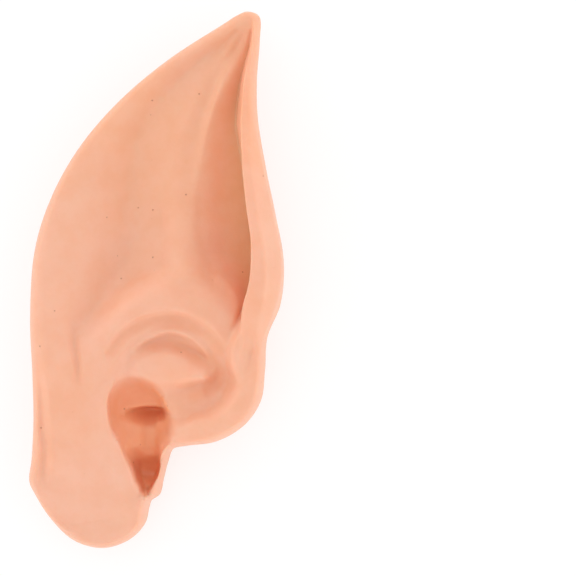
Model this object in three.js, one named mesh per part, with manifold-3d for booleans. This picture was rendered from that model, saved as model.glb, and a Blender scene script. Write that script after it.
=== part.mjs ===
// A soft pointed ear that slips over the wearer's own: one hollow shell of moulded rubber, open at the back.
// Units are millimetres. +X runs across the ear to its face side, +Y from the lobe to the tip and +Z out of
// its front. The ear lies on its back on the plane z = 0, with the middle of its box over the origin.
import * as THREE from 'three';
import { mergeVertices } from 'three/addons/utils/BufferGeometryUtils.js';
import Module from 'manifold-3d';

// Driving sizes
const LENGTH = 120;        // lobe to tip
const WIDTH = 57;          // outer side to face side
const DEPTH = 25;          // floor to the top of the front rim
const WALL = 1.6;          // thickness of the rubber
const EDGE_ROLL = 1.8;     // how far in from the outline the front rounds over
const BACK_ROLL = 5;       // how far in from the outline the back rounds under
const TIP_LIFT = 7;        // height of the back of the tip above the floor
const OVERHANG = 2.4;      // how far the top of the front rim leans over the hollow beside it
const FLOOR_SKIRT = 0.4;   // how far the cut for the back opening runs past either side of the wall
const LEAST_GAP = 0.3;     // the least room between the two faces of the hollow
const LEAST_SQUARE = 0.5;  // keeps the wall sane where a spoke runs almost along the outline

// Shares
const FLAT_BACK = 0.6;     // share of the length, from the lobe, over which the back lies flat
const RIM_FOOT = 0.78;     // share of the depth from which the front rim starts to lean
const LEVEL = 0.6;         // height of the plain front before the folds are laid on it, a share of the depth

// Fineness of the facets, in millimetres and counts
const SPOKE_STEP = 2.3;
const FOLD_STEP = 1.2;
const SLOPE_STEPS = 60;
const FRONT_RING_COUNT = 15;
const BACK_RING_COUNT = 6;
const FRONT_INSIDE_RING_COUNT = 10;
const BACK_INSIDE_RING_COUNT = 4;
const LAST_RING = 0.93;    // share of a spoke that the rings cover; the strip between their ends is filled
const BALL_REACHES = [0, 0.45, 0.8, 1];
const BALL_SIDES = 10;

// The outline, from the tip down the face side and up the outer side. x and y are shares of WIDTH and LENGTH
// from the corner of the box, spoke is where on the spine the spoke of a point ends, and edge is the height of
// the parting line there, a share of DEPTH.
const OUTLINE = table('x y spoke edge', [
  [0.857, 0.999, 1, 0.48],
  [0.904, 0.99, 1, 0.48],
  [0.906, 0.945, 0.993, 0.46],
  [0.895, 0.874, 0.943, 0.44],
  [0.898, 0.804, 0.893, 0.42],
  [0.93, 0.71, 0.821, 0.4],
  [0.967, 0.625, 0.75, 0.4],
  [1, 0.535, 0.671, 0.4],
  [0.988, 0.457, 0.607, 0.4],
  [0.936, 0.394, 0.543, 0.38],
  [0.926, 0.331, 0.493, 0.36],
  [0.91, 0.275, 0.45, 0.34],
  [0.846, 0.23, 0.407, 0.3],
  [0.736, 0.199, 0.371, 0.26],
  [0.619, 0.19, 0.343, 0.2],
  [0.562, 0.183, 0.307, 0.14],
  [0.539, 0.157, 0.264, 0.1],
  [0.521, 0.124, 0.214, 0.1],
  [0.506, 0.096, 0.171, 0.1],
  [0.475, 0.086, 0.15, 0.1],
  [0.465, 0.072, 0.121, 0.14],
  [0.451, 0.044, 0.071, 0.2],
  [0.396, 0.016, 0.021, 0.24],
  [0.291, -0.001, 0, 0.24],
  [0.174, 0.013, 0, 0.24],
  [0.084, 0.054, 0.043, 0.28],
  [0.023, 0.101, 0.107, 0.34],
  [0, 0.126, 0.136, 0.36],
  [0.01, 0.169, 0.186, 0.38],
  [0.018, 0.241, 0.286, 0.4],
  [0.014, 0.325, 0.4, 0.42],
  [0.006, 0.431, 0.529, 0.44],
  [0.025, 0.558, 0.65, 0.44],
  [0.088, 0.653, 0.736, 0.44],
  [0.197, 0.746, 0.8, 0.44],
  [0.35, 0.831, 0.871, 0.45],
  [0.545, 0.909, 0.936, 0.46],
  [0.768, 0.977, 0.986, 0.48],
  [0.818, 0.992, 1, 0.48],
]);

// The line through the middle of the ear that the spokes run to, from the lobe to the tip
const SPINE = table('x y', [
  [0.24, 0.059],
  [0.299, 0.139],
  [0.365, 0.223],
  [0.443, 0.325],
  [0.537, 0.455],
  [0.631, 0.604],
  [0.725, 0.763],
  [0.838, 0.956],
]);

// The opening in the back that the wearer's ear goes in at
const MOUTH = table('x y', [
  [0.146, 0.409],
  [0.279, 0.455],
  [0.475, 0.472],
  [0.662, 0.457],
  [0.779, 0.399],
  [0.803, 0.334],
  [0.764, 0.278],
  [0.67, 0.249],
  [0.533, 0.237],
  [0.42, 0.196],
  [0.334, 0.122],
  [0.232, 0.088],
  [0.154, 0.126],
  [0.131, 0.223],
  [0.131, 0.325],
]);

// The folds of the front, in the order they are laid on. x, y and z are shares of WIDTH, LENGTH and DEPTH along
// the line of a fold, left and right are how far it reaches to either side of that line, as shares of WIDTH,
// and flat is the share of this reach over which it has its whole height or depth.
const FOLDS = [
  { name: 'scapha', flat: 0, rows: table('x y z left right', [
    [0.787, 0.934, 0.528, 0.117, 0.156],
    [0.611, 0.878, 0.536, 0.176, 0.234],
    [0.436, 0.792, 0.528, 0.234, 0.234],
    [0.381, 0.703, 0.512, 0.234, 0.234],
    [0.396, 0.604, 0.488, 0.234, 0.234],
    [0.357, 0.524, 0.496, 0.203, 0.234],
    [0.271, 0.45, 0.576, 0.156, 0.234],
    [0.217, 0.381, 0.648, 0.117, 0.195],
  ]) },
  { name: 'lobe', flat: 0.3, rows: table('x y z left right', [
    [0.217, 0.288, 0.7, 0.234, 0.234],
    [0.209, 0.204, 0.68, 0.234, 0.273],
    [0.225, 0.129, 0.62, 0.234, 0.273],
    [0.248, 0.055, 0.54, 0.234, 0.234],
  ]) },
  { name: 'antihelix_body', flat: 0.2, rows: table('x y z left right', [
    [0.85, 0.372, 0.72, 0.141, 0.156],
    [0.729, 0.431, 0.752, 0.156, 0.164],
    [0.584, 0.457, 0.76, 0.141, 0.156],
    [0.447, 0.435, 0.752, 0.109, 0.156],
    [0.35, 0.386, 0.736, 0.094, 0.156],
    [0.271, 0.319, 0.712, 0.133, 0.176],
    [0.24, 0.25, 0.68, 0.176, 0.176],
  ]) },
  { name: 'helix_back', flat: 0.1, rows: table('x y z left right', [
    [0.842, 0.979, 0.584, 0.047, 0.039],
    [0.689, 0.943, 0.592, 0.055, 0.047],
    [0.514, 0.882, 0.608, 0.078, 0.055],
    [0.354, 0.805, 0.632, 0.125, 0.062],
    [0.225, 0.722, 0.664, 0.227, 0.078],
    [0.131, 0.628, 0.696, 0.328, 0.094],
    [0.092, 0.53, 0.712, 0.281, 0.102],
    [0.088, 0.427, 0.72, 0.156, 0.109],
    [0.107, 0.344, 0.728, 0.094, 0.109],
    [0.123, 0.269, 0.728, 0.133, 0.117],
    [0.123, 0.204, 0.68, 0.156, 0.117],
  ]) },
  { name: 'fossa', flat: 0, rows: table('x y z left right', [
    [0.896, 0.956, 0.536, 0.031, 0.039],
    [0.885, 0.908, 0.488, 0.031, 0.078],
    [0.869, 0.846, 0.448, 0.031, 0.125],
    [0.865, 0.779, 0.444, 0.031, 0.18],
    [0.885, 0.716, 0.424, 0.031, 0.238],
    [0.9, 0.643, 0.396, 0.031, 0.281],
    [0.916, 0.558, 0.356, 0.031, 0.277],
    [0.92, 0.494, 0.356, 0.031, 0.172],
    [0.893, 0.45, 0.432, 0.031, 0.086],
    [0.85, 0.412, 0.544, 0.031, 0.047],
  ]) },
  { name: 'antihelix_ridge', flat: 0, rows: table('x y z left right', [
    [0.818, 0.956, 0.56, 0.027, 0.027],
    [0.756, 0.908, 0.544, 0.031, 0.039],
    [0.701, 0.837, 0.556, 0.035, 0.055],
    [0.65, 0.753, 0.576, 0.043, 0.078],
    [0.627, 0.669, 0.6, 0.051, 0.094],
    [0.615, 0.604, 0.616, 0.059, 0.102],
    [0.615, 0.554, 0.648, 0.086, 0.102],
    [0.623, 0.509, 0.704, 0.117, 0.094],
  ]) },
  { name: 'tragus', flat: 0.2, rows: table('x y z left right', [
    [0.865, 0.383, 0.8, 0.109, 0.102],
    [0.873, 0.334, 0.792, 0.109, 0.094],
    [0.846, 0.282, 0.784, 0.109, 0.094],
    [0.771, 0.241, 0.76, 0.102, 0.094],
    [0.662, 0.223, 0.712, 0.086, 0.078],
    [0.592, 0.219, 0.656, 0.062, 0.062],
  ]) },
  { name: 'helix_front', flat: 0.5, rows: table('x y z left right', [
    [0.893, 0.975, 0.64, 0.023, 0.016],
    [0.885, 0.93, 0.696, 0.031, 0.023],
    [0.869, 0.865, 0.736, 0.047, 0.043],
    [0.869, 0.791, 0.824, 0.059, 0.059],
    [0.9, 0.716, 0.92, 0.055, 0.062],
    [0.928, 0.642, 0.968, 0.055, 0.066],
    [0.955, 0.567, 1, 0.062, 0.074],
    [0.947, 0.493, 1, 0.062, 0.074],
    [0.92, 0.45, 0.96, 0.062, 0.078],
    [0.893, 0.412, 0.88, 0.07, 0.086],
    [0.865, 0.379, 0.808, 0.086, 0.086],
    [0.85, 0.353, 0.784, 0.094, 0.078],
  ]) },
  { name: 'cymba_floor', flat: 0.2, rows: table('x y z left right', [
    [0.459, 0.345, 0.688, 0.102, 0.117],
    [0.561, 0.36, 0.688, 0.102, 0.117],
    [0.689, 0.349, 0.688, 0.078, 0.102],
  ]) },
  { name: 'groove_outer', flat: 0.1, rows: table('x y z left right', [
    [0.326, 0.368, 0.708, 0.023, 0.039],
    [0.373, 0.398, 0.692, 0.031, 0.047],
    [0.467, 0.424, 0.68, 0.039, 0.055],
    [0.584, 0.429, 0.68, 0.039, 0.055],
    [0.686, 0.409, 0.688, 0.039, 0.047],
    [0.756, 0.375, 0.704, 0.031, 0.039],
  ]) },
  { name: 'ridge_thin', flat: 0, rows: table('x y z left right', [
    [0.412, 0.377, 0.68, 0.023, 0.023],
    [0.482, 0.399, 0.7, 0.023, 0.023],
    [0.561, 0.409, 0.724, 0.023, 0.023],
    [0.639, 0.398, 0.704, 0.023, 0.023],
    [0.701, 0.375, 0.688, 0.023, 0.023],
  ]) },
  { name: 'groove_inner', flat: 0, rows: table('x y z left right', [
    [0.428, 0.366, 0.664, 0.023, 0.035],
    [0.482, 0.383, 0.62, 0.02, 0.051],
    [0.545, 0.388, 0.604, 0.02, 0.059],
    [0.623, 0.377, 0.604, 0.02, 0.055],
    [0.682, 0.36, 0.624, 0.023, 0.047],
    [0.721, 0.345, 0.636, 0.023, 0.031],
  ]) },
  { name: 'crus', flat: 0, rows: table('x y z left right', [
    [0.475, 0.323, 0.688, 0.059, 0.07],
    [0.545, 0.323, 0.708, 0.07, 0.07],
    [0.623, 0.325, 0.756, 0.062, 0.055],
    [0.682, 0.325, 0.756, 0.039, 0.031],
  ]) },
  { name: 'pocket', flat: 0, rows: table('x y z left right', [
    [0.717, 0.358, 0.648, 0.023, 0.031],
    [0.752, 0.336, 0.62, 0.027, 0.031],
    [0.74, 0.314, 0.56, 0.035, 0.039],
    [0.701, 0.297, 0.58, 0.039, 0.039],
    [0.654, 0.286, 0.664, 0.043, 0.043],
  ]) },
  { name: 'cavity_low', flat: 0.1, rows: table('x y z left right', [
    [0.447, 0.237, 0.424, 0.148, 0.148],
    [0.451, 0.215, 0.424, 0.152, 0.141],
    [0.455, 0.193, 0.424, 0.117, 0.133],
  ]) },
  { name: 'cavity', flat: 0.4, rows: table('x y z left right', [
    [0.424, 0.269, 0.436, 0.125, 0.148],
    [0.451, 0.256, 0.428, 0.121, 0.148],
    [0.467, 0.247, 0.424, 0.094, 0.148],
  ]) },
  { name: 'canal', flat: 0, rows: table('x y z left right', [
    [0.373, 0.254, 0.408, 0.012, 0.031],
    [0.412, 0.257, 0.304, 0.018, 0.062],
    [0.459, 0.26, 0.216, 0.018, 0.074],
    [0.49, 0.26, 0.208, 0.018, 0.07],
    [0.51, 0.259, 0.24, 0.018, 0.051],
  ]) },
  { name: 'notch_floor', flat: 0.35, rows: table('x y z left right', [
    [0.471, 0.193, 0.42, 0.043, 0.094],
    [0.471, 0.174, 0.336, 0.059, 0.109],
    [0.471, 0.155, 0.232, 0.066, 0.105],
    [0.467, 0.137, 0.2, 0.055, 0.082],
    [0.463, 0.116, 0.304, 0.027, 0.035],
  ]) },
  { name: 'antitragus', flat: 0.6, rows: table('x y z left right', [
    [0.33, 0.314, 0.7, 0.02, 0.027],
    [0.307, 0.299, 0.696, 0.027, 0.043],
    [0.295, 0.28, 0.696, 0.031, 0.051],
    [0.295, 0.254, 0.688, 0.031, 0.062],
    [0.307, 0.226, 0.684, 0.031, 0.062],
    [0.334, 0.202, 0.672, 0.031, 0.062],
    [0.359, 0.174, 0.652, 0.031, 0.062],
    [0.381, 0.15, 0.632, 0.031, 0.055],
    [0.398, 0.124, 0.608, 0.031, 0.055],
    [0.42, 0.1, 0.58, 0.027, 0.047],
  ]) },
  { name: 'tragus_foot', flat: 0, rows: table('x y z left right', [
    [0.67, 0.223, 0.712, 0.062, 0.078],
    [0.623, 0.211, 0.672, 0.031, 0.055],
    [0.584, 0.202, 0.616, 0.023, 0.039],
  ]) },
  { name: 'lip', flat: 0.5, rows: table('x y z left right', [
    [0.553, 0.191, 0.6, 0.027, 0.02],
    [0.533, 0.174, 0.552, 0.023, 0.021],
    [0.529, 0.155, 0.52, 0.023, 0.02],
    [0.52, 0.135, 0.496, 0.023, 0.02],
    [0.5, 0.116, 0.472, 0.021, 0.021],
    [0.484, 0.101, 0.496, 0.023, 0.025],
  ]) },
];

// A list of rows with named columns
function table(columns, rows) {
  const names = columns.split(' ');
  return rows.map((row) => Object.fromEntries(names.map((name, i) => [name, row[i]])));
}

function mix(from, to, share) {
  return from + (to - from) * share;
}

function smoothstep(low, high, value) {
  const t = Math.min(Math.max((value - low) / (high - low), 0), 1);
  return t * t * (3 - 2 * t);
}

// The place of a row in millimetres, with the middle of the box over the origin
function place(row) {
  return new THREE.Vector3((row.x - 0.5) * WIDTH, (row.y - 0.5) * LENGTH, (row.z ?? 0) * DEPTH);
}

// Points about step apart on the smooth curve through the rows, each with the other columns of its rows
function sampleRows(rows, step, closed) {
  const curve = new THREE.CatmullRomCurve3(rows.map(place), closed, 'centripetal');
  const spans = closed ? rows.length : rows.length - 1;
  const samples = [];
  for (let i = 0; i < spans; i += 1) {
    const from = rows[i];
    const to = rows[(i + 1) % rows.length];
    const count = Math.max(1, Math.round(place(from).distanceTo(place(to)) / step));
    for (let k = 0; k < count; k += 1) {
      const sample = { point: curve.getPoint((i + k / count) / spans) };
      for (const name of Object.keys(from)) sample[name] = mix(from[name], to[name], k / count);
      samples.push(sample);
    }
  }
  if (!closed) samples.push({ ...rows.at(-1), point: place(rows.at(-1)) });
  return samples;
}

// The straight pieces of a sampled line, each with the line's direction at its two ends
function piecesOf(samples, closed) {
  const last = samples.length - 1;
  const wrap = (i) => (closed ? (i + samples.length) % samples.length : Math.min(Math.max(i, 0), last));
  const direction = (i) => {
    const before = samples[wrap(i - 1)].point;
    const after = samples[wrap(i + 1)].point;
    return new THREE.Vector2(after.x - before.x, after.y - before.y).normalize();
  };
  return Array.from({ length: closed ? samples.length : last }, (_, i) => {
    const from = samples[i];
    const to = samples[wrap(i + 1)];
    const run = new THREE.Vector2(to.point.x - from.point.x, to.point.y - from.point.y);
    return { from, to, run, start: direction(i), end: direction(wrap(i + 1)) };
  });
}

// The place on a line that is nearest to x, y: how far it is, and where on which piece
function nearestOn(pieces, x, y) {
  let best = { distance: Infinity };
  for (const piece of pieces) {
    const { from, run } = piece;
    const [ex, ey] = [x - from.point.x, y - from.point.y];
    const along = Math.min(Math.max((ex * run.x + ey * run.y) / run.lengthSq(), 0), 1);
    const [ox, oy] = [ex - along * run.x, ey - along * run.y];
    const distance = Math.hypot(ox, oy);
    if (distance < best.distance) best = { distance, piece, along, ox, oy };
  }
  return best;
}

const outline = fitToBox(sampleRows(OUTLINE, SPOKE_STEP, true));
const outlinePieces = piecesOf(outline, true);
const spine = new THREE.CatmullRomCurve3(SPINE.map(place), false, 'centripetal');
const folds = FOLDS.map(readyFold);
const frontRim = folds.find((fold) => fold.name === 'helix_front');

// Stretches the outline a little so that it fills WIDTH by LENGTH about the origin
function fitToBox(samples) {
  const box = new THREE.Box3().setFromPoints(samples.map((sample) => sample.point));
  const size = box.getSize(new THREE.Vector3());
  const middle = box.getCenter(new THREE.Vector3());
  const stretch = new THREE.Vector3(WIDTH / size.x, LENGTH / size.y, 1);
  for (const sample of samples) sample.point.sub(middle).multiply(stretch);
  return samples;
}

function readyFold(fold) {
  const samples = sampleRows(fold.rows, FOLD_STEP, false);
  const reach = Math.max(...fold.rows.flatMap((row) => [row.left, row.right])) * WIDTH;
  const box = new THREE.Box2().setFromPoints(samples.map((sample) => sample.point)).expandByScalar(reach);
  return { ...fold, box, pieces: piecesOf(samples, false) };
}

// How strongly a fold acts at x, y, from 0 to 1, and its height there
function foldAt(fold, x, y) {
  const { min, max } = fold.box;
  if (x < min.x || x > max.x || y < min.y || y > max.y) return { weight: 0, height: 0 };
  const { distance, piece, along, ox, oy } = nearestOn(fold.pieces, x, y);
  const [tx, ty] = [mix(piece.start.x, piece.end.x, along), mix(piece.start.y, piece.end.y, along)];
  const side = distance > 0 ? (tx * oy - ty * ox) / (distance * Math.hypot(tx, ty)) : 0;
  const left = mix(piece.from.left, piece.to.left, along);
  const right = mix(piece.from.right, piece.to.right, along);
  const reach = mix(right, left, (side + 1) / 2) * WIDTH;
  const past = Math.min(Math.max((distance / reach - fold.flat) / (1 - fold.flat), 0), 1);
  return { weight: (1 - past * past) ** 2, height: mix(piece.from.point.z, piece.to.point.z, along) };
}

// A quarter round: 0 on the outline and 1 from roll inwards
function quarterRound(distance, roll) {
  const t = Math.min(distance / roll, 1);
  return Math.sqrt(t * (2 - t));
}

// The height of the parting line beside x, y and the distance to it
function edgeNear(x, y) {
  const { distance, piece, along } = nearestOn(outlinePieces, x, y);
  return { distance, edge: mix(piece.from.edge, piece.to.edge, along) * DEPTH };
}

// Height of the outside of the front, with all its folds
function frontHeight(x, y) {
  let height = LEVEL * DEPTH;
  for (const fold of folds) {
    const here = foldAt(fold, x, y);
    height = mix(height, here.height, here.weight);
  }
  const { distance, edge } = edgeNear(x, y);
  return mix(edge, height, quarterRound(distance, EDGE_ROLL));
}

// Height of the outside of the back, which rises towards the tip
function backHeight(x, y) {
  const lift = TIP_LIFT * smoothstep(FLAT_BACK, 1, y / LENGTH + 0.5);
  const { distance, edge } = edgeNear(x, y);
  return mix(edge, lift, quarterRound(distance, BACK_ROLL));
}

// The half of a ball of the wall's radius. It rolls along a skin, and the hollow starts where it reaches.
const BALL = BALL_REACHES.flatMap((share) =>
  Array.from({ length: share > 0 ? BALL_SIDES : 1 }, (_, i) => {
    const turn = (i / BALL_SIDES) * 2 * Math.PI;
    const reach = share * WALL;
    return { dx: reach * Math.cos(turn), dy: reach * Math.sin(turn), rise: Math.sqrt(WALL ** 2 - reach ** 2) };
  }));

function frontInside(x, y) {
  return Math.min(...BALL.map(({ dx, dy, rise }) => frontHeight(x + dx, y + dy) - rise));
}

function backInside(x, y) {
  return Math.max(...BALL.map(({ dx, dy, rise }) => backHeight(x + dx, y + dy) + rise));
}

// The front rim leans over the hollow beside it, more the higher a point is.
function leant(point) {
  const share = smoothstep(RIM_FOOT, 1, point.z / DEPTH) * foldAt(frontRim, point.x, point.y).weight;
  return new THREE.Vector3(point.x - OVERHANG * share, point.y, point.z);
}

// The rings' places on the way from a point of the rim to its place on the spine. They lie evenly along the
// slope of the face, so that more of them fall on its steep parts.
function ringPlaces(start, end, ringCount, slopeOf) {
  const steps = Array.from({ length: SLOPE_STEPS + 1 }, (_, i) => {
    const point = start.clone().lerp(end, LAST_RING * (i / SLOPE_STEPS));
    return i > 0 ? point.setZ(slopeOf(point.x, point.y)) : point;
  });
  const lengths = [0];
  for (let i = 1; i <= SLOPE_STEPS; i += 1) lengths.push(lengths[i - 1] + steps[i].distanceTo(steps[i - 1]));
  const places = [];
  let i = 1;
  for (let j = 1; j <= ringCount; j += 1) {
    const wanted = (lengths[SLOPE_STEPS] * j) / ringCount;
    while (i < SLOPE_STEPS && lengths[i] < wanted) i += 1;
    const share = (wanted - lengths[i - 1]) / (lengths[i] - lengths[i - 1]);
    places.push(steps[i - 1].clone().lerp(steps[i], share));
  }
  return places;
}

// One face of the shell: rings of points that run in from the rim along the spokes, and a filled strip between
// the ends of the spokes. Its triangles are clockwise seen from the front.
function skin(rim, ringCount, heightAt, slopeOf) {
  const count = rim.length;
  const spokes = rim.map((start, i) => ringPlaces(start, spine.getPoint(outline[i].spoke), ringCount, slopeOf));
  const points = [...rim];
  for (let j = 0; j < ringCount; j += 1) {
    points.push(...spokes.map((places) => places[j].setZ(heightAt(places[j].x, places[j].y))));
  }
  const triangles = [];
  for (let j = 0; j < ringCount; j += 1) {
    for (let i = 0; i < count; i += 1) {
      const [a, b] = [j * count + i, j * count + ((i + 1) % count)];
      const [c, d] = [a + count, b + count];
      const upright = points[a].distanceTo(points[d]) <= points[b].distanceTo(points[c]);
      triangles.push(...(upright ? [[a, b, d], [a, d, c]] : [[a, b, c], [b, d, c]]));
    }
  }
  let right = 0;
  let left = count - 1;
  while (left - right > 1) {
    const goRight = outline[right + 1].spoke > outline[left - 1].spoke;
    const corners = goRight ? [right, right + 1, left] : [right, left - 1, left];
    triangles.push(corners.map((corner) => corner + ringCount * count));
    if (goRight) right += 1;
    else left -= 1;
  }
  return { points, triangles };
}

// The closed solid between a front and a back that share their rim
function solidBetween(front, back, rimCount) {
  const points = [...front.points, ...back.points.slice(rimCount)].map(leant);
  const shift = front.points.length - rimCount;
  const triangles = [
    ...front.triangles.map((corners) => corners.toReversed()),
    ...back.triangles.map((corners) => corners.map((corner) => (corner < rimCount ? corner : corner + shift))),
  ];
  const geometry = new THREE.BufferGeometry();
  geometry.setAttribute('position', new THREE.Float32BufferAttribute(points.flatMap((p) => p.toArray()), 3));
  geometry.setIndex(triangles.flat());
  return manifoldOf(geometry);
}

function outerSolid() {
  const rim = outline.map(({ point, edge }) => point.clone().setZ(edge * DEPTH));
  const front = skin(rim, FRONT_RING_COUNT, frontHeight, frontHeight);
  const back = skin(rim, BACK_RING_COUNT, backHeight, backHeight);
  return solidBetween(front, back, rim.length);
}

// The rim of the hollow lies one wall in from the outline, measured square to it.
function hollowRim() {
  return outline.map(({ point, edge, spoke }, i) => {
    const inwards = spine.getPoint(spoke).sub(point);
    const before = outline.at(i - 1).point;
    const after = outline[(i + 1) % outline.length].point;
    const run = after.clone().sub(before).normalize();
    const square = Math.max(Math.abs(run.x * inwards.y - run.y * inwards.x) / inwards.length(), LEAST_SQUARE);
    return point.clone().add(inwards.setLength(WALL / square)).setZ(edge * DEPTH);
  });
}

function hollowSolid() {
  const rim = hollowRim();
  const clear = (x, y) => Math.max(frontInside(x, y), backInside(x, y) + LEAST_GAP);
  const front = skin(rim, FRONT_INSIDE_RING_COUNT, clear, frontHeight);
  const back = skin(rim, BACK_INSIDE_RING_COUNT, backInside, backHeight);
  return solidBetween(front, back, rim.length);
}

// What is cut out of the back wall for the wearer's ear
function mouthSolid() {
  const shape = new THREE.Shape(sampleRows(MOUTH, SPOKE_STEP, true).map(({ point }) => point));
  const depth = WALL + 2 * FLOOR_SKIRT;
  const geometry = new THREE.ExtrudeGeometry(shape, { depth, bevelEnabled: false });
  return manifoldOf(geometry.translate(0, 0, -FLOOR_SKIRT));
}

const wasm = await Module();
wasm.setup();

function manifoldOf(geometry) {
  geometry.deleteAttribute('normal');
  geometry.deleteAttribute('uv');
  const merged = mergeVertices(geometry, 1e-5);
  return new wasm.Manifold(new wasm.Mesh({
    numProp: 3,
    vertProperties: new Float32Array(merged.attributes.position.array),
    triVerts: new Uint32Array(merged.index.array),
  }));
}

function geometryOf(manifold) {
  const mesh = manifold.getMesh();
  const geometry = new THREE.BufferGeometry();
  geometry.setAttribute('position', new THREE.BufferAttribute(mesh.vertProperties, 3));
  geometry.setIndex(new THREE.BufferAttribute(mesh.triVerts, 1));
  geometry.computeVertexNormals();
  return geometry;
}

const rubber = new THREE.MeshStandardMaterial({ name: 'moulded_rubber', color: 0xf4b494, roughness: 0.55 });
const shell = new THREE.Mesh(geometryOf(outerSolid().subtract(hollowSolid()).subtract(mouthSolid())), rubber);
shell.name = 'ear_shell';

const ear = new THREE.Group();
ear.name = 'pointed_ear';
ear.add(shell);

export default ear;
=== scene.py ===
"""A soft pointed ear of moulded rubber: its fine skin, its finish, and a plain studio around it.

The part's own frame is used: +X to the ear's face side, +Y to its tip, +Z out of its folded front. Sizes are
in millimetres up to the meshes, which are in metres.
"""
import math

import bpy
import numpy as np
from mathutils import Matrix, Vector


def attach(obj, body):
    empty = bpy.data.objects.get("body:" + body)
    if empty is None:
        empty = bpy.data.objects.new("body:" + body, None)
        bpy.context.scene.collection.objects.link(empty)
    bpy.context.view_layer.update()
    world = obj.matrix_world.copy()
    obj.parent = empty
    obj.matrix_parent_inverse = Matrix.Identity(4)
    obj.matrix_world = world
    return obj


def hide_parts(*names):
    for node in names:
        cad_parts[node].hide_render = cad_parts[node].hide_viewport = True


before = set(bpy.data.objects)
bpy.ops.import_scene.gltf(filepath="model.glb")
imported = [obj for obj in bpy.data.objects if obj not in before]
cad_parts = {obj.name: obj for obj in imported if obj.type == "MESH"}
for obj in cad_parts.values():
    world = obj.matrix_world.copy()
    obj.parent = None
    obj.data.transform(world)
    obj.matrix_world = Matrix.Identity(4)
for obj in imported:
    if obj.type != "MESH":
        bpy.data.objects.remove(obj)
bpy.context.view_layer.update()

# Driving sizes
LENGTH = 120.0             # lobe to tip
WIDTH = 57.0               # outer side to face side
DEPTH = 25.0               # floor to the top of the front rim
WALL = 1.6                 # thickness of the rubber
EDGE_ROLL = 1.8            # how far in from the outline the front rounds over
BACK_ROLL = 5.0            # how far in from the outline the back rounds under
TIP_LIFT = 7.0             # height of the back of the tip above the floor
OVERHANG = 2.4             # how far the top of the front rim leans over the hollow beside it
LEVEL = 0.6                # height of the plain front before the folds are laid on it, a share of the depth
LEAST_GAP = 0.3            # the least room between the two faces of the hollow
LEAST_SQUARE = 0.5         # keeps the wall sane where a spoke runs almost along the outline
FLAT_BACK = 0.6            # share of the length, from the lobe, over which the back lies flat
RIM_FOOT = 0.78            # share of the depth from which the front rim starts to lean
MM = 0.001                 # a millimetre in metres

# Fineness of the mesh, in millimetres and counts
SPOKE_STEP = 0.62
FOLD_STEP = 0.8
MAP_STEP = 0.35
MAP_MARGIN = 3             # how far a height map runs past the box
SLOPE_STEPS = 240
SMOOTHINGS = 3             # how often the rings' places are evened out between neighbouring spokes
FRONT_RINGS = 96
BACK_RINGS = 18
LIP_RINGS = 5
INNER_FRONT_RINGS = 28
INNER_BACK_RINGS = 6
LAST_RING = 0.985          # share of a spoke that the rings cover; the strip between their ends is filled

# The outline, from the tip down the face side and up the outer side. x and y are shares of WIDTH and LENGTH
# from the corner of the box, spoke is where on the spine a point's spoke ends, and edge is the height of the
# parting line, a share of DEPTH.
OUTLINE = [
    (0.857, 0.999, 1, 0.48),
    (0.904, 0.99, 1, 0.48),
    (0.906, 0.945, 0.993, 0.46),
    (0.895, 0.874, 0.943, 0.44),
    (0.898, 0.804, 0.893, 0.42),
    (0.93, 0.71, 0.821, 0.4),
    (0.967, 0.625, 0.75, 0.4),
    (1, 0.535, 0.671, 0.4),
    (0.988, 0.457, 0.607, 0.4),
    (0.936, 0.394, 0.543, 0.38),
    (0.926, 0.331, 0.493, 0.36),
    (0.91, 0.275, 0.45, 0.34),
    (0.846, 0.23, 0.407, 0.3),
    (0.736, 0.199, 0.371, 0.26),
    (0.619, 0.19, 0.343, 0.2),
    (0.562, 0.183, 0.307, 0.14),
    (0.539, 0.157, 0.264, 0.1),
    (0.521, 0.124, 0.214, 0.1),
    (0.506, 0.096, 0.171, 0.1),
    (0.475, 0.086, 0.15, 0.1),
    (0.465, 0.072, 0.121, 0.14),
    (0.451, 0.044, 0.071, 0.2),
    (0.396, 0.016, 0.021, 0.24),
    (0.291, -0.001, 0, 0.24),
    (0.174, 0.013, 0, 0.24),
    (0.084, 0.054, 0.043, 0.28),
    (0.023, 0.101, 0.107, 0.34),
    (0, 0.126, 0.136, 0.36),
    (0.01, 0.169, 0.186, 0.38),
    (0.018, 0.241, 0.286, 0.4),
    (0.014, 0.325, 0.4, 0.42),
    (0.006, 0.431, 0.529, 0.44),
    (0.025, 0.558, 0.65, 0.44),
    (0.088, 0.653, 0.736, 0.44),
    (0.197, 0.746, 0.8, 0.44),
    (0.35, 0.831, 0.871, 0.45),
    (0.545, 0.909, 0.936, 0.46),
    (0.768, 0.977, 0.986, 0.48),
    (0.818, 0.992, 1, 0.48),
]

# The line that the spokes of the front run to, from the lobe to the tip
SPINE = [
    (0.24, 0.059),
    (0.299, 0.139),
    (0.365, 0.223),
    (0.443, 0.325),
    (0.537, 0.455),
    (0.631, 0.604),
    (0.725, 0.763),
    (0.838, 0.956),
]

# The opening in the back
MOUTH = [
    (0.146, 0.409),
    (0.279, 0.455),
    (0.475, 0.472),
    (0.662, 0.457),
    (0.779, 0.399),
    (0.803, 0.334),
    (0.764, 0.278),
    (0.67, 0.249),
    (0.533, 0.237),
    (0.42, 0.196),
    (0.334, 0.122),
    (0.232, 0.088),
    (0.154, 0.126),
    (0.131, 0.223),
    (0.131, 0.325),
]
# The line through its middle
MOUTH_MIDDLE = [(0.27, 0.2), (0.36, 0.31), (0.48, 0.38)]

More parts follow.
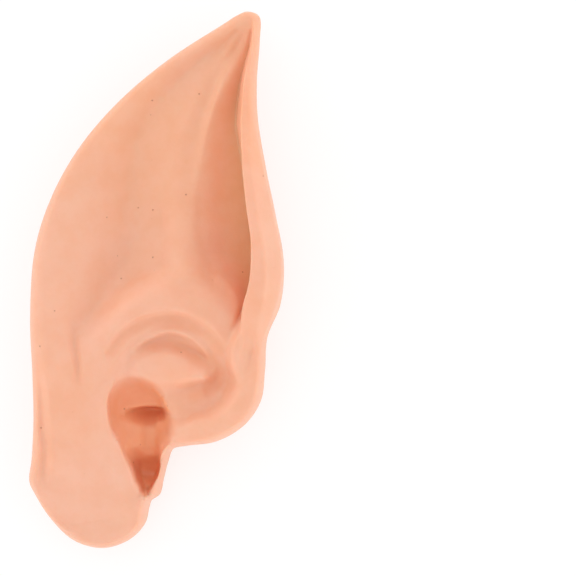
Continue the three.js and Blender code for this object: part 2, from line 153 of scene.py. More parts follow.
# The folds of the front, in the order they are laid on, each with its name, flat and rows. x, y and z are
# shares of WIDTH, LENGTH and DEPTH along the line of a fold, left and right are how far it reaches to either
# side, as shares of WIDTH, and flat is the share of this reach over which it has its whole height or depth.
FOLDS = [
    ("scapha", 0, [
        (0.787, 0.934, 0.528, 0.117, 0.156),
        (0.611, 0.878, 0.536, 0.176, 0.234),
        (0.436, 0.792, 0.528, 0.234, 0.234),
        (0.381, 0.703, 0.512, 0.234, 0.234),
        (0.396, 0.604, 0.488, 0.234, 0.234),
        (0.357, 0.524, 0.496, 0.203, 0.234),
        (0.271, 0.45, 0.576, 0.156, 0.234),
        (0.217, 0.381, 0.648, 0.117, 0.195),
    ]),
    ("lobe", 0.3, [
        (0.217, 0.288, 0.7, 0.234, 0.234),
        (0.209, 0.204, 0.68, 0.234, 0.273),
        (0.225, 0.129, 0.62, 0.234, 0.273),
        (0.248, 0.055, 0.54, 0.234, 0.234),
    ]),
    ("antihelix_body", 0.2, [
        (0.85, 0.372, 0.72, 0.141, 0.156),
        (0.729, 0.431, 0.752, 0.156, 0.164),
        (0.584, 0.457, 0.76, 0.141, 0.156),
        (0.447, 0.435, 0.752, 0.109, 0.156),
        (0.35, 0.386, 0.736, 0.094, 0.156),
        (0.271, 0.319, 0.712, 0.133, 0.176),
        (0.24, 0.25, 0.68, 0.176, 0.176),
    ]),
    ("helix_back", 0.1, [
        (0.842, 0.979, 0.584, 0.047, 0.039),
        (0.689, 0.943, 0.592, 0.055, 0.047),
        (0.514, 0.882, 0.608, 0.078, 0.055),
        (0.354, 0.805, 0.632, 0.125, 0.062),
        (0.225, 0.722, 0.664, 0.227, 0.078),
        (0.131, 0.628, 0.696, 0.328, 0.094),
        (0.092, 0.53, 0.712, 0.281, 0.102),
        (0.088, 0.427, 0.72, 0.156, 0.109),
        (0.107, 0.344, 0.728, 0.094, 0.109),
        (0.123, 0.269, 0.728, 0.133, 0.117),
        (0.123, 0.204, 0.68, 0.156, 0.117),
    ]),
    ("fossa", 0, [
        (0.896, 0.956, 0.536, 0.031, 0.039),
        (0.885, 0.908, 0.488, 0.031, 0.078),
        (0.869, 0.846, 0.448, 0.031, 0.125),
        (0.865, 0.779, 0.444, 0.031, 0.18),
        (0.885, 0.716, 0.424, 0.031, 0.238),
        (0.9, 0.643, 0.396, 0.031, 0.281),
        (0.916, 0.558, 0.356, 0.031, 0.277),
        (0.92, 0.494, 0.356, 0.031, 0.172),
        (0.893, 0.45, 0.432, 0.031, 0.086),
        (0.85, 0.412, 0.544, 0.031, 0.047),
    ]),
    ("antihelix_ridge", 0, [
        (0.818, 0.956, 0.56, 0.027, 0.027),
        (0.756, 0.908, 0.544, 0.031, 0.039),
        (0.701, 0.837, 0.556, 0.035, 0.055),
        (0.65, 0.753, 0.576, 0.043, 0.078),
        (0.627, 0.669, 0.6, 0.051, 0.094),
        (0.615, 0.604, 0.616, 0.059, 0.102),
        (0.615, 0.554, 0.648, 0.086, 0.102),
        (0.623, 0.509, 0.704, 0.117, 0.094),
    ]),
    ("tragus", 0.2, [
        (0.865, 0.383, 0.8, 0.109, 0.102),
        (0.873, 0.334, 0.792, 0.109, 0.094),
        (0.846, 0.282, 0.784, 0.109, 0.094),
        (0.771, 0.241, 0.76, 0.102, 0.094),
        (0.662, 0.223, 0.712, 0.086, 0.078),
        (0.592, 0.219, 0.656, 0.062, 0.062),
    ]),
    ("helix_front", 0.5, [
        (0.893, 0.975, 0.64, 0.023, 0.016),
        (0.885, 0.93, 0.696, 0.031, 0.023),
        (0.869, 0.865, 0.736, 0.047, 0.043),
        (0.869, 0.791, 0.824, 0.059, 0.059),
        (0.9, 0.716, 0.92, 0.055, 0.062),
        (0.928, 0.642, 0.968, 0.055, 0.066),
        (0.955, 0.567, 1, 0.062, 0.074),
        (0.947, 0.493, 1, 0.062, 0.074),
        (0.92, 0.45, 0.96, 0.062, 0.078),
        (0.893, 0.412, 0.88, 0.07, 0.086),
        (0.865, 0.379, 0.808, 0.086, 0.086),
        (0.85, 0.353, 0.784, 0.094, 0.078),
    ]),
    ("cymba_floor", 0.2, [
        (0.459, 0.345, 0.688, 0.102, 0.117),
        (0.561, 0.36, 0.688, 0.102, 0.117),
        (0.689, 0.349, 0.688, 0.078, 0.102),
    ]),
    ("groove_outer", 0.1, [
        (0.326, 0.368, 0.708, 0.023, 0.039),
        (0.373, 0.398, 0.692, 0.031, 0.047),
        (0.467, 0.424, 0.68, 0.039, 0.055),
        (0.584, 0.429, 0.68, 0.039, 0.055),
        (0.686, 0.409, 0.688, 0.039, 0.047),
        (0.756, 0.375, 0.704, 0.031, 0.039),
    ]),
    ("ridge_thin", 0, [
        (0.412, 0.377, 0.68, 0.023, 0.023),
        (0.482, 0.399, 0.7, 0.023, 0.023),
        (0.561, 0.409, 0.724, 0.023, 0.023),
        (0.639, 0.398, 0.704, 0.023, 0.023),
        (0.701, 0.375, 0.688, 0.023, 0.023),
    ]),
    ("groove_inner", 0, [
        (0.428, 0.366, 0.664, 0.023, 0.035),
        (0.482, 0.383, 0.62, 0.02, 0.051),
        (0.545, 0.388, 0.604, 0.02, 0.059),
        (0.623, 0.377, 0.604, 0.02, 0.055),
        (0.682, 0.36, 0.624, 0.023, 0.047),
        (0.721, 0.345, 0.636, 0.023, 0.031),
    ]),
    ("crus", 0, [
        (0.475, 0.323, 0.688, 0.059, 0.07),
        (0.545, 0.323, 0.708, 0.07, 0.07),
        (0.623, 0.325, 0.756, 0.062, 0.055),
        (0.682, 0.325, 0.756, 0.039, 0.031),
    ]),
    ("pocket", 0, [
        (0.717, 0.358, 0.648, 0.023, 0.031),
        (0.752, 0.336, 0.62, 0.027, 0.031),
        (0.74, 0.314, 0.56, 0.035, 0.039),
        (0.701, 0.297, 0.58, 0.039, 0.039),
        (0.654, 0.286, 0.664, 0.043, 0.043),
    ]),
    ("cavity_low", 0.1, [
        (0.447, 0.237, 0.424, 0.148, 0.148),
        (0.451, 0.215, 0.424, 0.152, 0.141),
        (0.455, 0.193, 0.424, 0.117, 0.133),
    ]),
    ("cavity", 0.4, [
        (0.424, 0.269, 0.436, 0.125, 0.148),
        (0.451, 0.256, 0.428, 0.121, 0.148),
        (0.467, 0.247, 0.424, 0.094, 0.148),
    ]),
    ("canal", 0, [
        (0.373, 0.254, 0.408, 0.012, 0.031),
        (0.412, 0.257, 0.304, 0.018, 0.062),
        (0.459, 0.26, 0.216, 0.018, 0.074),
        (0.49, 0.26, 0.208, 0.018, 0.07),
        (0.51, 0.259, 0.24, 0.018, 0.051),
    ]),
    ("notch_floor", 0.35, [
        (0.471, 0.193, 0.42, 0.043, 0.094),
        (0.471, 0.174, 0.336, 0.059, 0.109),
        (0.471, 0.155, 0.232, 0.066, 0.105),
        (0.467, 0.137, 0.2, 0.055, 0.082),
        (0.463, 0.116, 0.304, 0.027, 0.035),
    ]),
    ("antitragus", 0.6, [
        (0.33, 0.314, 0.7, 0.02, 0.027),
        (0.307, 0.299, 0.696, 0.027, 0.043),
        (0.295, 0.28, 0.696, 0.031, 0.051),
        (0.295, 0.254, 0.688, 0.031, 0.062),
        (0.307, 0.226, 0.684, 0.031, 0.062),
        (0.334, 0.202, 0.672, 0.031, 0.062),
        (0.359, 0.174, 0.652, 0.031, 0.062),
        (0.381, 0.15, 0.632, 0.031, 0.055),
        (0.398, 0.124, 0.608, 0.031, 0.055),
        (0.42, 0.1, 0.58, 0.027, 0.047),
    ]),
    ("tragus_foot", 0, [
        (0.67, 0.223, 0.712, 0.062, 0.078),
        (0.623, 0.211, 0.672, 0.031, 0.055),
        (0.584, 0.202, 0.616, 0.023, 0.039),
    ]),
    ("lip", 0.5, [
        (0.553, 0.191, 0.6, 0.027, 0.02),
        (0.533, 0.174, 0.552, 0.023, 0.021),
        (0.529, 0.155, 0.52, 0.023, 0.02),
        (0.52, 0.135, 0.496, 0.023, 0.02),
        (0.5, 0.116, 0.472, 0.021, 0.021),
        (0.484, 0.101, 0.496, 0.023, 0.025),
    ]),
]

# Creases and wrinkles too fine for the solid. z is how far one raises or lowers the front.
FINE_FOLDS = [
    ("lobe_crease", 0, [
        (0.172, 0.42, -0.008, 0.027, 0.023),
        (0.188, 0.381, -0.026, 0.027, 0.023),
        (0.2, 0.349, -0.032, 0.023, 0.023),
        (0.205, 0.314, -0.01, 0.023, 0.023),
    ]),
    ("outer_furrow", 0, [
        (0.053, 0.325, -0.012, 0.031, 0.023),
        (0.0625, 0.288, -0.03, 0.035, 0.023),
        (0.064, 0.256, -0.034, 0.039, 0.023),
        (0.064, 0.223, -0.034, 0.039, 0.023),
        (0.072, 0.191, -0.034, 0.039, 0.023),
        (0.068, 0.163, -0.032, 0.035, 0.023),
        (0.064, 0.133, -0.016, 0.031, 0.023),
    ]),
    ("inner_crease", 0, [
        (0.428, 0.372, -0.006, 0.014, 0.02),
        (0.482, 0.388, -0.012, 0.014, 0.02),
        (0.545, 0.393, -0.014, 0.014, 0.02),
        (0.623, 0.382, -0.012, 0.014, 0.02),
        (0.682, 0.365, -0.01, 0.014, 0.02),
        (0.721, 0.35, -0.004, 0.014, 0.02),
    ]),
    ("low_floor", 0.2, [
        (0.475, 0.23, -0.03, 0.047, 0.047),
        (0.475, 0.196, -0.04, 0.047, 0.047),
    ]),
    ("pocket_end", 0, [
        (0.686, 0.293, -0.008, 0.041, 0.041),
        (0.654, 0.286, -0.068, 0.041, 0.041),
    ]),
    ("hood_edge", 0, [
        (0.49, 0.298, 0.008, 0.012, 0.012),
        (0.512, 0.289, 0.024, 0.012, 0.012),
        (0.532, 0.278, 0.028, 0.012, 0.012),
        (0.549, 0.26, 0.012, 0.012, 0.012),
    ]),
    ("rim_foot_furrow", 0, [
        (0.838, 0.444, -0.016, 0.02, 0.023),
        (0.814, 0.416, -0.02, 0.02, 0.023),
        (0.791, 0.386, -0.006, 0.02, 0.023),
    ]),
    ("rim_foot_ridge", 0, [
        (0.865, 0.412, 0.004, 0.02, 0.02),
        (0.842, 0.379, 0.016, 0.02, 0.02),
        (0.822, 0.353, 0.012, 0.02, 0.02),
        (0.814, 0.327, 0.004, 0.016, 0.016),
    ]),
    ("rim_wrinkle", 0, [
        (0.893, 0.396, -0.004, 0.014, 0.014),
        (0.877, 0.372, -0.016, 0.014, 0.014),
        (0.865, 0.349, -0.012, 0.014, 0.014),
        (0.854, 0.327, -0.004, 0.012, 0.012),
    ]),
    ("rim_bump", 0, [
        (0.916, 0.386, 0.008, 0.016, 0.016),
        (0.904, 0.364, 0.016, 0.016, 0.016),
        (0.896, 0.342, 0.004, 0.016, 0.016),
    ]),
    ("outer_roll", 0, [
        (0.021, 0.409, 0.004, 0.014, 0.014),
        (0.021, 0.316, 0.012, 0.014, 0.014),
        (0.025, 0.223, 0.012, 0.014, 0.014),
        (0.021, 0.148, 0.008, 0.014, 0.014),
    ]),
    ("lobe_roll", 0, [
        (0.029, 0.126, 0.006, 0.012, 0.012),
        (0.053, 0.092, 0.014, 0.012, 0.012),
        (0.092, 0.064, 0.014, 0.012, 0.012),
        (0.146, 0.042, 0.012, 0.012, 0.012),
        (0.209, 0.027, 0.004, 0.012, 0.012),
    ]),
    ("lip_ball", 0, [
        (0.479, 0.106, 0.024, 0.02, 0.02),
        (0.479, 0.099, 0.024, 0.02, 0.02),
    ]),
]

# How strongly painted shade is laid on. The first table paints orange shade into the cavity, canal, notch,
# grooves and pocket, and a painted glow along the hood edge, where light shines through the thin rubber; the
# second paints a tan shade deep in the fossa.
PAINTED_SHADE_AND_GLOW = {"cavity": 0.9, "cavity_low": 1, "canal": 1, "notch_floor": 1, "groove_inner": 0.25,
           "groove_outer": 0.3, "pocket": 0.35, "hood_edge": 0.95}
FOSSA_SHADE_SHARES = {"fossa": 1}

# Colours of the rubber. It is peach at the lobe and apricot at the tip, in clouds.
PEACH = (0.835, 0.437, 0.298, 1)
APRICOT = (0.848, 0.412, 0.248, 1)
# Painted shade: the orange of the shade in the hollows, also used for the painted glow along the hood edge
SHADE_AND_GLOW_ORANGE = (0.88, 0.365, 0.185, 1)
# Painted shade: the tan of the shade deep in the fossa
FOSSA_SHADE_COLOUR = (0.8, 0.45, 0.25, 1)
PIT_COLOUR = (0.45, 0.2, 0.12, 1)
BLOTCH_SHADES = {"Red": (0.98, 1), "Green": (0.95, 1.03), "Blue": (0.92, 1.06)}
ROUGHNESS = (0.42, 0.6)
SUBSURFACE_SHARE = 0.25
SUBSURFACE_SCALE = 3.0
SUBSURFACE_RADII = (1.0, 0.35, 0.2)

# Sizes of the marks and depths of their relief
CLOUD_SIZE = 24.0
BLOTCH_SIZE = 5.0
BLOTCH_DEPTH = 0.1
GRAIN_SIZE = 0.7
GRAIN_DEPTH = 0.025
PIT_SPACING = 3.5
PIT_RADIUS = 0.26
PIT_CORE = 0.3             # share of a pit's radius over which it is darkest
PIT_DEPTH = 0.12
PIT_STRENGTH = 0.7
PITS_LEFT_OUT = 0.45       # share of the pits that don't show

# Where each tint starts and where it is whole. The way to the tip and the height over which the painted shade
# in the fossa fades are in metres.
CLOUD_RANGE = (0.35, 0.65)
BLOTCH_RANGE = (0.3, 0.7)
TIP_RANGE = (-0.3 * LENGTH * MM, 0.4 * LENGTH * MM)
FOSSA_SHADE_RANGE = (0.25, 0.95)
FOSSA_SHADE_FADE_RANGE = (0.48 * DEPTH * MM, 0.62 * DEPTH * MM)
FOSSA_SHADE_MOST = 0.8             # how strong the painted shade in the fossa gets

# The studio, in metres: a white paper that glows, and a white tent. The tent's brightness goes from the first
# value at its sides to the second overhead, between two heights that are given as sines.
PAPER_HALF = 1.5
PAPER_GREY = (0.35, 0.35, 0.35, 1)
PAPER_GLOW = 0.65
WHITE = (1, 1, 1, 1)
TENT_BRIGHTNESS = (1.75, 0.91)
TENT_RANGE = (0.1, 0.75)
SOFTBOX_PLACE = (-0.15, 0.25, 0.9)
SOFTBOX_SIZE = 0.6
SOFTBOX_WATTS = 0.4

# The photograph is square and looks straight down. All but the last three are in its pixels.
PHOTO_SIDE = 576
EAR_TALL = 537
EAR_MIDDLE = (156.5, 281)
PARTING_HEIGHT = 0.42 * DEPTH
LENS = 135
SENSOR = 36


def mix(low, high, share):
    return low + (high - low) * share


def smoothstep(low, high, value):
    t = np.clip((value - low) / (high - low), 0, 1)
    return t * t * (3 - 2 * t)


def quarter_round(distance, roll):
    """0 at distance 0, rising as a quarter circle to 1 at roll."""
    t = np.clip(distance / roll, 0, 1)
    return np.sqrt(t * (2 - t))


def curve_between(four, share):
    """A place between the middle two of four points, on the centripetal curve through them."""
    spans = [max(np.sum((four[i + 1] - four[i]) ** 2) ** 0.25, 1e-4) for i in range(3)]
    before, middle, after = (four[i + 1] - four[i] for i in range(3))
    start = (before / spans[0] - (four[2] - four[0]) / (spans[0] + spans[1]) + middle / spans[1]) * spans[1]
    end = (middle / spans[1] - (four[3] - four[1]) / (spans[1] + spans[2]) + after / spans[2]) * spans[1]
    square = 3 * middle - 2 * start - end
    cube = start + end - 2 * middle
    return four[1] + share * (start + share * (square + share * cube))


class Line:
    """A smooth line through a table's rows, sampled. Each sample keeps the other columns of its rows."""

    def __init__(self, names, rows, step, closed=False):
        table = np.array(rows, float)
        places = np.zeros((len(table), 3))
        places[:, 0] = (table[:, 0] - 0.5) * WIDTH
        places[:, 1] = (table[:, 1] - 0.5) * LENGTH
        if "z" in names:
            places[:, 2] = table[:, names.index("z")] * DEPTH
        self.closed = closed
        count = len(table)
        if closed:
            padded = np.vstack([places[-1:], places, places[:2]])
        else:
            padded = np.vstack([2 * places[0] - places[1], places, 2 * places[-1] - places[-2]])
        points, values = [], []
        for i in range(count if closed else count - 1):
            j = (i + 1) % count
            pieces = max(1, round(float(np.linalg.norm(places[j] - places[i])) / step))
            for k in range(pieces):
                points.append(curve_between(padded[i:i + 4], k / pieces))
                values.append(mix(table[i], table[j], k / pieces))
        if not closed:
            points.append(places[-1])
            values.append(table[-1])
        self.points = np.array(points)
        self.columns = dict(zip(names, np.array(values).T))
        self.tangents = self._tangents()

    def _tangents(self):
        if self.closed:
            run = np.roll(self.points, -1, 0) - np.roll(self.points, 1, 0)
        else:
            run = np.gradient(self.points, axis=0)
        return run[:, :2] / np.linalg.norm(run[:, :2], axis=1)[:, None]

    def value(self, values, at):
        """A column, or any other list with one entry for each sample, read at fractional places."""
        low = np.floor(at).astype(int)
        high = (low + 1) % len(values) if self.closed else np.minimum(low + 1, len(values) - 1)
        share = at - low
        if values.ndim > 1:
            share = share[..., None]
        return mix(values[low % len(values)], values[high], share)

    def nearest(self, x, y):
        """Distance to the line, the place along it, and the side from -1 at the right to 1 at the left."""
        count = len(self.points)
        distance = np.full(x.shape, np.inf)
        at = np.zeros(x.shape)
        for i in range(count if self.closed else count - 1):
            start, end = self.points[i, :2], self.points[(i + 1) % count, :2]
            run = end - start
            along = np.clip(((x - start[0]) * run[0] + (y - start[1]) * run[1]) / (run @ run), 0, 1)
            gap = np.hypot(x - start[0] - along * run[0], y - start[1] - along * run[1])
            nearer = gap < distance
            distance = np.where(nearer, gap, distance)
            at = np.where(nearer, i + np.minimum(along, 1 - 1e-9), at)
        foot = self.value(self.points[:, :2], at)
        tangent = self.value(self.tangents, at)
        cross = tangent[..., 0] * (y - foot[..., 1]) - tangent[..., 1] * (x - foot[..., 0])
        side = cross / np.maximum(distance * np.linalg.norm(tangent, axis=-1), 1e-9)
        return distance, at, np.clip(side, -1, 1)


class Fold:
    """A ridge or furrow along a line, which pulls the front to its own height within its reach."""

    def __init__(self, name, flat, rows):
        self.name = name
        self.flat = flat
        self.line = Line(["x", "y", "z", "left", "right"], rows, FOLD_STEP)
        reach = WIDTH * max(max(row[3:]) for row in rows)
        self.low = self.line.points[:, :2].min(0) - reach
        self.high = self.line.points[:, :2].max(0) + reach

    def at(self, x, y):
        """How strongly the fold acts, from 0 to 1, and its height."""
        weight, height = np.zeros(x.shape), np.zeros(x.shape)
        inside = (x > self.low[0]) & (x < self.high[0]) & (y > self.low[1]) & (y < self.high[1])
        if inside.any():
            distance, at, side = self.line.nearest(x[inside], y[inside])
            left = self.line.value(self.line.columns["left"], at)
            right = self.line.value(self.line.columns["right"], at)
            reach = mix(right, left, (side + 1) / 2) * WIDTH
            past = np.clip((distance / reach - self.flat) / (1 - self.flat), 0, 1)
            weight[inside] = (1 - past * past) ** 2
            height[inside] = self.line.value(self.line.points[:, 2], at)
        return weight, height


class HeightMap:
    """Heights on a square grid, read between its points."""

    def __init__(self, heights):
        self.heights = heights

    @classmethod
    def of(cls, function):
        xs = np.arange(-WIDTH / 2 - MAP_MARGIN, WIDTH / 2 + MAP_MARGIN, MAP_STEP)
        ys = np.arange(-LENGTH / 2 - MAP_MARGIN, LENGTH / 2 + MAP_MARGIN, MAP_STEP)
        x, y = np.meshgrid(xs, ys)
        return cls(function(x, y))

    def at(self, x, y):
        column = np.clip((x + WIDTH / 2 + MAP_MARGIN) / MAP_STEP, 0, self.heights.shape[1] - 1.001)
        row = np.clip((y + LENGTH / 2 + MAP_MARGIN) / MAP_STEP, 0, self.heights.shape[0] - 1.001)
        i, j = np.floor(row).astype(int), np.floor(column).astype(int)
        up, across = row - i, column - j
        low = mix(self.heights[i, j], self.heights[i, j + 1], across)
        high = mix(self.heights[i + 1, j], self.heights[i + 1, j + 1], across)
        return mix(low, high, up)

    def rolled(self, side):
        """The surface that a ball of one wall leaves as it rolls below (side -1) or above (side 1) this one."""
        result = self.heights + side * WALL
        reach = int(WALL / MAP_STEP)
        for i in range(-reach, reach + 1):
            for j in range(-reach, reach + 1):
                apart = math.hypot(i, j) * MAP_STEP
                if apart > WALL:
                    continue
                moved = np.roll(self.heights, (i, j), (0, 1)) + side * math.sqrt(WALL ** 2 - apart ** 2)
                result = np.minimum(result, moved) if side < 0 else np.maximum(result, moved)
        return HeightMap(result)


def fit_to_box(line):
    """Stretches the outline a little so that it fills WIDTH by LENGTH about the origin."""
    low, high = line.points.min(0), line.points.max(0)
    stretch = np.array([WIDTH / (high[0] - low[0]), LENGTH / (high[1] - low[1]), 1])
    line.points = (line.points - (low + high) / 2) * stretch
    return line


outline = fit_to_box(Line(["x", "y", "spoke", "edge"], OUTLINE, SPOKE_STEP, closed=True))
mouth = Line(["x", "y"], MOUTH, SPOKE_STEP, closed=True)
folds = [Fold(*fold) for fold in FOLDS]
fine_folds = [Fold(*fold) for fold in FINE_FOLDS]
front_rim = next(fold for fold in folds if fold.name == "helix_front")


def edge_near(x, y):
    """Height of the parting line beside x, y, and the distance to it."""
    distance, at, _ = outline.nearest(x, y)
    return outline.value(outline.columns["edge"], at) * DEPTH, distance


def front_height(x, y):
    height = np.full(x.shape, LEVEL * DEPTH)
    for fold in folds:
        weight, own = fold.at(x, y)
        height = mix(height, own, weight)
    for fold in fine_folds:
        weight, change = fold.at(x, y)
        height = height + change * weight
    edge, distance = edge_near(x, y)
    return mix(edge, height, quarter_round(distance, EDGE_ROLL))


def back_height(x, y):
    lift = TIP_LIFT * smoothstep(FLAT_BACK, 1, y / LENGTH + 0.5)
    edge, distance = edge_near(x, y)
    return mix(edge, lift, quarter_round(distance, BACK_ROLL))


def leant(points):
    """The front rim leans over the hollow beside it, more the higher a point is."""
    weight, _ = front_rim.at(points[..., 0], points[..., 1])
    result = points.copy()
    result[..., 0] -= OVERHANG * weight * smoothstep(RIM_FOOT, 1, points[..., 2] / DEPTH)
    return result


def points_on(rows, shares):
    """Places on the smooth line through rows of x and y, at shares of its way."""
    line = Line(["x", "y"], rows, SPOKE_STEP)
    return line.value(line.points[:, :2], shares * (len(line.points) - 1))


def spine_places(shares):
    """Places on the spine at shares of its way, counted row by row."""
    places = np.array([((x - 0.5) * WIDTH, (y - 0.5) * LENGTH) for x, y in SPINE])
    padded = np.vstack([2 * places[0] - places[1], places, 2 * places[-1] - places[-2]])
    result = []
    for share in shares:
        at = min(share * (len(places) - 1), len(places) - 1 - 1e-9)
        result.append(curve_between(padded[int(at):int(at) + 4], at - int(at)))
    return np.array(result)


def even_shares(start, end, slope, count, last=1.0):
    """Shares of the way from each start to its end, even along the slope, as count rings by the starts."""
    steps = np.linspace(0, last, SLOPE_STEPS + 1)
    way = start[None, :, :2] + (end - start[:, :2])[None] * steps[:, None, None]
    height = slope(way[..., 0], way[..., 1])
    height[0] = start[:, 2]
    run = np.sqrt(np.sum(np.diff(way, axis=0) ** 2, -1) + np.diff(height, axis=0) ** 2)
    length = np.vstack([np.zeros(len(start)), np.cumsum(run, 0)])
    wanted = np.linspace(0, 1, count + 1)[1:]
    shares = np.array([np.interp(wanted * length[-1, i], length[:, i], steps) for i in range(len(start))]).T
    for _ in range(SMOOTHINGS):
        shares = (np.roll(shares, 1, 1) + 2 * shares + np.roll(shares, -1, 1)) / 4
    return shares


def rings_between(start, end, shares, height):
    """The rings of points at these shares, with the heights of a face."""
    rings = []
    for share in shares:
        place = start[:, :2] + (end - start[:, :2]) * share[:, None]
        rings.append(np.column_stack([place, height(place[:, 0], place[:, 1])]))
    return rings


class Skin:
    """Points and faces of the mesh as it grows."""

    def __init__(self):
        self.points = []
        self.faces = []
        self.count = 0

    def add(self, ring):
        """Adds a ring of points and gives the numbers of its points."""
        self.points.append(leant(ring))
        numbers = np.arange(self.count, self.count + len(ring))
        self.count += len(ring)
        return numbers

    def join(self, ring, inner, facing_front):
        """Quads between two rings. The rings run clockwise seen from the front."""
        quads = np.column_stack([ring, np.roll(ring, -1), np.roll(inner, -1), inner])
        self.faces += (quads[:, ::-1] if facing_front else quads).tolist()

    def fill(self, ring, facing_front):
        """Triangles across the narrow strip inside a ring, from the tip down both its sides."""
        spokes = outline.columns["spoke"]
        right, left = 0, len(ring) - 1
        while left - right > 1:
            go_right = spokes[right + 1] > spokes[left - 1]
            corners = [right, right + 1, left] if go_right else [right, left - 1, left]
            corners = [int(ring[corner]) for corner in corners]
            self.faces.append(corners[::-1] if facing_front else corners)
            right, left = (right + 1, left) if go_right else (right, left - 1)


def mouth_ends(start):
    """Where the straight way from each start to the middle of the back opening meets its edge."""
    middle = points_on(MOUTH_MIDDLE, outline.columns["spoke"])
    steps = np.linspace(0, 1, SLOPE_STEPS + 1)
    way = start[None, :, :2] + (middle - start[:, :2])[None] * steps[:, None, None]
    distance, _, side = mouth.nearest(way[..., 0], way[..., 1])
    outside = distance * np.where(side > 0, 1, -1)
    ends = []
    for i in range(len(start)):
        k = int(np.argmax(outside[:, i] < 0))
        share = outside[k - 1, i] / (outside[k - 1, i] - outside[k, i])
        ends.append(mix(way[k - 1, i], way[k, i], share))
    return np.array(ends)


def back_rings(start, end, slope, height, count):
    """The rings of a back face, from its rim to the rounded lip of the opening, but for the lip's last ring."""
    way = end - start[:, :2]
    to_lip = 1 - WALL / np.linalg.norm(way, axis=1)
    lip_start = start[:, :2] + way * to_lip[:, None]
    shares = [share * to_lip for share in even_shares(start, lip_start, slope, count)]
    for k in range(1, LIP_RINGS):
        left_over = 1 - math.sin(k / LIP_RINGS * math.pi / 2)
        shares.append(1 - (1 - to_lip) * left_over)
    return rings_between(start, end, shares, height)


def with_lip(height, side):
    """A back face that rounds over to the middle of the wall at the edge of the opening."""
    def rounded(x, y):
        distance, _, _ = mouth.nearest(x, y)
        return height(x, y) + side * WALL / 2 * (1 - quarter_round(distance, WALL / 2))
    return rounded


def inner_rim():
    """The rim of the hollow, one wall in from the outline, measured square to it."""
    start = outline.points[:, :2]
    inwards = spine_places(outline.columns["spoke"]) - start
    inwards /= np.linalg.norm(inwards, axis=1)[:, None]
    square = np.abs(outline.tangents[:, 0] * inwards[:, 1] - outline.tangents[:, 1] * inwards[:, 0])
    place = start + inwards * (WALL / np.maximum(square, LEAST_SQUARE))[:, None]
    return np.column_stack([place, outline.columns["edge"] * DEPTH])


def ear_skin(front_map):
    back_map = HeightMap.of(back_height)
    front_inside = front_map.rolled(-1)
    back_inside = back_map.rolled(1)

    def clear_inside(x, y):
        return np.maximum(front_inside.at(x, y), back_inside.at(x, y) + LEAST_GAP)

    skin = Skin()
    spine = spine_places(outline.columns["spoke"])
    rim = np.column_stack([outline.points[:, :2], outline.columns["edge"] * DEPTH])
    hollow = inner_rim()

    rim_numbers = skin.add(rim)
    ring = rim_numbers
    shares = even_shares(rim, spine, front_map.at, FRONT_RINGS, LAST_RING)
    for points in rings_between(rim, spine, shares, front_height):
        inner = skin.add(points)
        skin.join(ring, inner, True)
        ring = inner
    skin.fill(ring, True)

    hollow_numbers = skin.add(hollow)
    ring = hollow_numbers
    shares = even_shares(hollow, spine, front_inside.at, INNER_FRONT_RINGS, LAST_RING)
    for points in rings_between(hollow, spine, shares, clear_inside):
        inner = skin.add(points)
        skin.join(ring, inner, False)
        ring = inner
    skin.fill(ring, False)

    ends = mouth_ends(rim)
    lip = skin.add(np.column_stack([ends, np.full(len(ends), WALL / 2)]))
    ring = rim_numbers
    for points in back_rings(rim, ends, back_map.at, with_lip(back_height, 1), BACK_RINGS):
        inner = skin.add(points)
        skin.join(ring, inner, False)
        ring = inner
    skin.join(ring, lip, False)

    ring = hollow_numbers
    for points in back_rings(hollow, ends, back_inside.at, with_lip(back_inside.at, -1), INNER_BACK_RINGS):
        inner = skin.add(points)
        skin.join(ring, inner, True)
        ring = inner
    skin.join(ring, lip, True)
    return skin


def mesh_object(name, points, faces):
    mesh = bpy.data.meshes.new(name)
    mesh.from_pydata((points * MM).tolist(), [], faces)
    mesh.validate()
    mesh.shade_smooth()
    obj = bpy.data.objects.new(name, mesh)
    bpy.context.scene.collection.objects.link(obj)
    return obj


def mark(obj, name, amounts, points, front):
    """Stores on each point how strongly it is tinted, from 0 to 1. The tint is laid on as the folds are."""
    x, y = points[:, 0], points[:, 1]
    share = np.zeros(len(points))
    for fold in folds + [fold for fold in fine_folds if fold.name in amounts]:
        weight, _ = fold.at(x, y)
        share = mix(share, amounts.get(fold.name, 0), weight)
    share[points[:, 2] < front.at(x, y) - WALL / 2] = 0
    attribute = obj.data.attributes.new(name, "FLOAT", "POINT")
    attribute.data.foreach_set("value", share.astype(np.float32))


